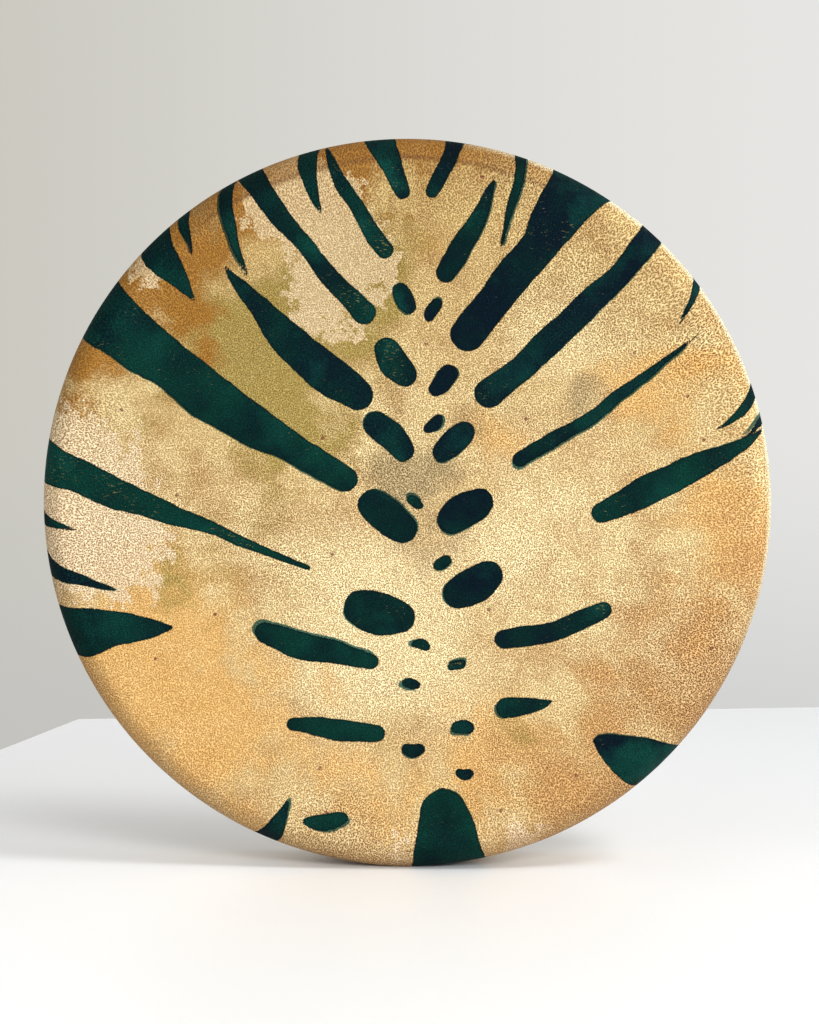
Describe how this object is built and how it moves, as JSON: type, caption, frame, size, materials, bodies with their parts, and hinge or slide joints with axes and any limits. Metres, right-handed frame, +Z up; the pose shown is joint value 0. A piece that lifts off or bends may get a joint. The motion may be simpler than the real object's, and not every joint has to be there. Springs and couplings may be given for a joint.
{
  "type": "frame drum",
  "caption": "Shallow round hand drum: a rawhide head over a bent wooden hoop, laced across the open back to a central grip ring.",
  "frame": {"origin": "middle of the footprint, on the surface that the drum stands on, halfway along its depth", "axes": "+Z up, with the drum standing on its edge; the head faces -Y and the open, laced back faces +Y; +X is to the right of a person looking at the head"},
  "size_m": [0.402, 0.0634, 0.402],
  "materials": {
    "rawhide": "hard translucent rawhide, golden to cream, with a pebbled grain and a painted leaf pattern in dark green",
    "wood": "oiled bent board, satin",
    "lace": "dried rawhide lace, satin",
    "leather": "dark brown suede, matt",
    "brass": "solid brass, dulled by handling",
    "copper": "copper clench pin, dull"
  },
  "bodies": {
    "root": {"hoop": "wood", "head": "rawhide", "grip_ring": "brass", "lace_loop_01": "lace", "lace_loop_02": "lace", "lace_loop_03": "lace", "lace_loop_04": "lace", "lace_loop_05": "lace", "lace_loop_06": "lace", "lace_loop_07": "lace", "lace_loop_08": "lace", "lace_loop_09": "lace", "lace_loop_10": "lace", "lace_loop_11": "lace", "lace_loop_12": "lace", "grip_sleeve_1": "leather", "grip_sleeve_2": "leather", "grip_sleeve_3": "leather", "grip_sleeve_4": "leather", "scarf_pin_1": "copper", "scarf_pin_2": "copper", "scarf_pin_3": "copper", "scarf_pin_4": "copper", "scarf_pin_5": "copper", "scarf_pin_6": "copper"}
  },
  "joints": []
}
